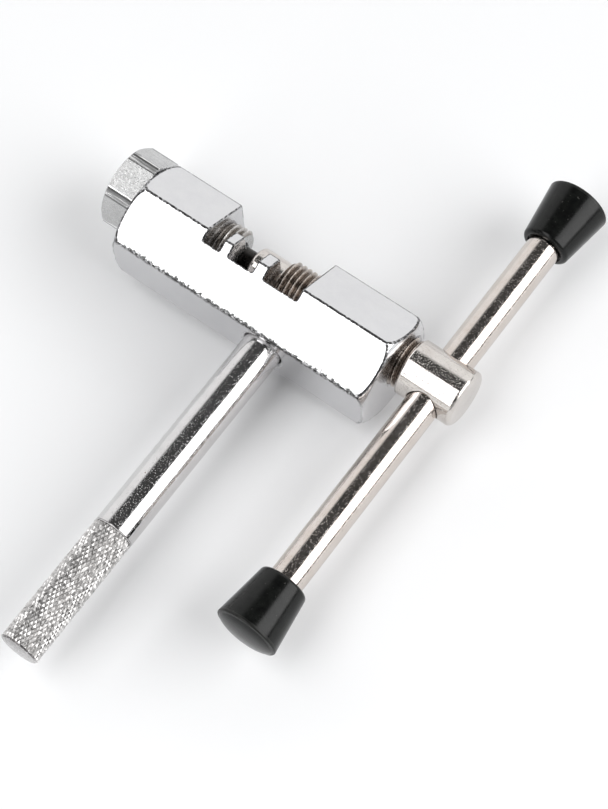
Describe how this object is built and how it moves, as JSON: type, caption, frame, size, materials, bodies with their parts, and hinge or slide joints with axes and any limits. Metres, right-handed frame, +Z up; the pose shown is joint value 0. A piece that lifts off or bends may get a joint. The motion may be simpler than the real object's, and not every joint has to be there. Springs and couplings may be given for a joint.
{
  "type": "bicycle chain tool",
  "caption": "Hexagonal-bodied chain rivet extractor: a cross-bar driver screw with push pin, a hollow adjusting screw, a toothed chain seat and a knurled round handle.",
  "frame": {"origin": "middle of the bottom of the whole tool's box, as the tool lies flat with its rods level", "axes": "+X along the driver screw towards its head, +Y from the handle's tip towards the chain seat, +Z up"},
  "size_m": [0.0676, 0.1134, 0.0196],
  "materials": {
    "body_chrome": "bright chrome plate over a machined bar",
    "handle_chrome": "bright chrome plate, knurled outer third",
    "screw_nickel": "nickel plate, slightly warm, fine turned marks",
    "bar_nickel": "polished nickel plate, slightly warm",
    "pin_steel": "hardened, black oxide",
    "anvil_chrome": "chrome plate with a finely pitted, turned look",
    "cap_plastic": "glossy black moulded plastic"
  },
  "bodies": {
    "frame": {"hex_body": "body_chrome", "handle_rod": "handle_chrome"},
    "push_pin": {"driver_pin": "pin_steel"},
    "driver": {"driver_screw": "screw_nickel"},
    "cross_bar": {"t_bar": "bar_nickel", "t_bar_cap_front": "cap_plastic", "t_bar_cap_rear": "cap_plastic"},
    "anvil": {"anvil_screw": "anvil_chrome"}
  },
  "joints": [
    {"name": "driver_advance", "type": "slide", "parent": "frame", "child": "push_pin", "axis": [1, 0, 0], "range_m": [-0.001, 0.016]},
    {"name": "driver_turn", "type": "hinge", "parent": "push_pin", "child": "driver", "pos_m": [0.0284, 0.01638, 0.00982], "axis": [1, 0, 0], "range_deg": [-360, 5760]},
    {"name": "cross_bar_slide", "type": "slide", "parent": "driver", "child": "cross_bar", "axis": [0, 1, 0], "range_m": [-0.024, 0.0355]},
    {"name": "anvil_adjust", "type": "slide", "parent": "frame", "child": "anvil", "axis": [1, 0, 0], "range_m": [-0.008, 0]}
  ],
  "couplings": [
    {"joint": "driver_advance", "follows": "driver_turn", "m_per_rad": 0.00015915}
  ]
}
